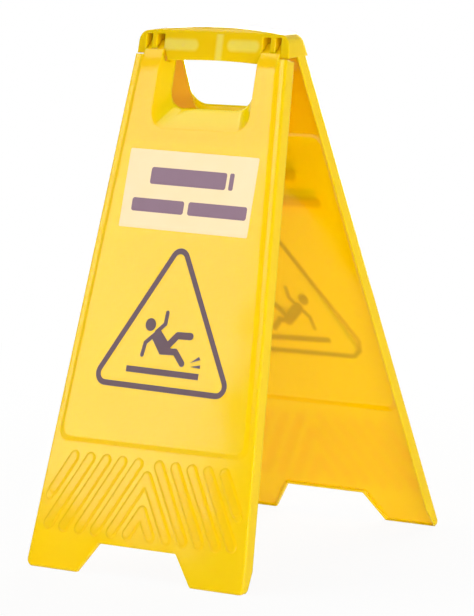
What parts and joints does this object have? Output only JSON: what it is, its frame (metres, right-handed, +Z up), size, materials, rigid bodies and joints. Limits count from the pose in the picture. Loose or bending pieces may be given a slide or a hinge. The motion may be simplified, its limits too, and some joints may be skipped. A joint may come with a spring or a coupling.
{
  "type": "folding floor warning sign",
  "caption": "Folding A-frame floor sign: two moulded panels hinged under a hollow handle, with a hand hole, sticker and slip pictogram.",
  "frame": {"origin": "on the floor, midway between the front and rear feet and on the sign's centre line", "axes": "+X across the sign to the right as seen from the front, +Y from the front panel to the rear panel, +Z up"},
  "size_m": [0.2986, 0.3836, 0.5878],
  "materials": {
    "yellow_plastic": "injection-moulded polypropylene, glossy, slightly translucent yellow",
    "label_film": "thin translucent off-white self-adhesive film",
    "print_ink": "dark purplish grey screen ink"
  },
  "bodies": {
    "rear": {"rear_panel": "yellow_plastic", "rear_label": "label_film", "rear_label_print": "print_ink", "rear_pictogram": "print_ink"},
    "front": {"front_panel": "yellow_plastic", "front_label": "label_film", "front_label_print": "print_ink", "front_pictogram": "print_ink"}
  },
  "joints": [
    {"name": "fold", "type": "hinge", "parent": "rear", "child": "front", "pos_m": [0, 0, 0.56428], "axis": [1, 0, 0], "range_deg": [0, 34.6]}
  ]
}
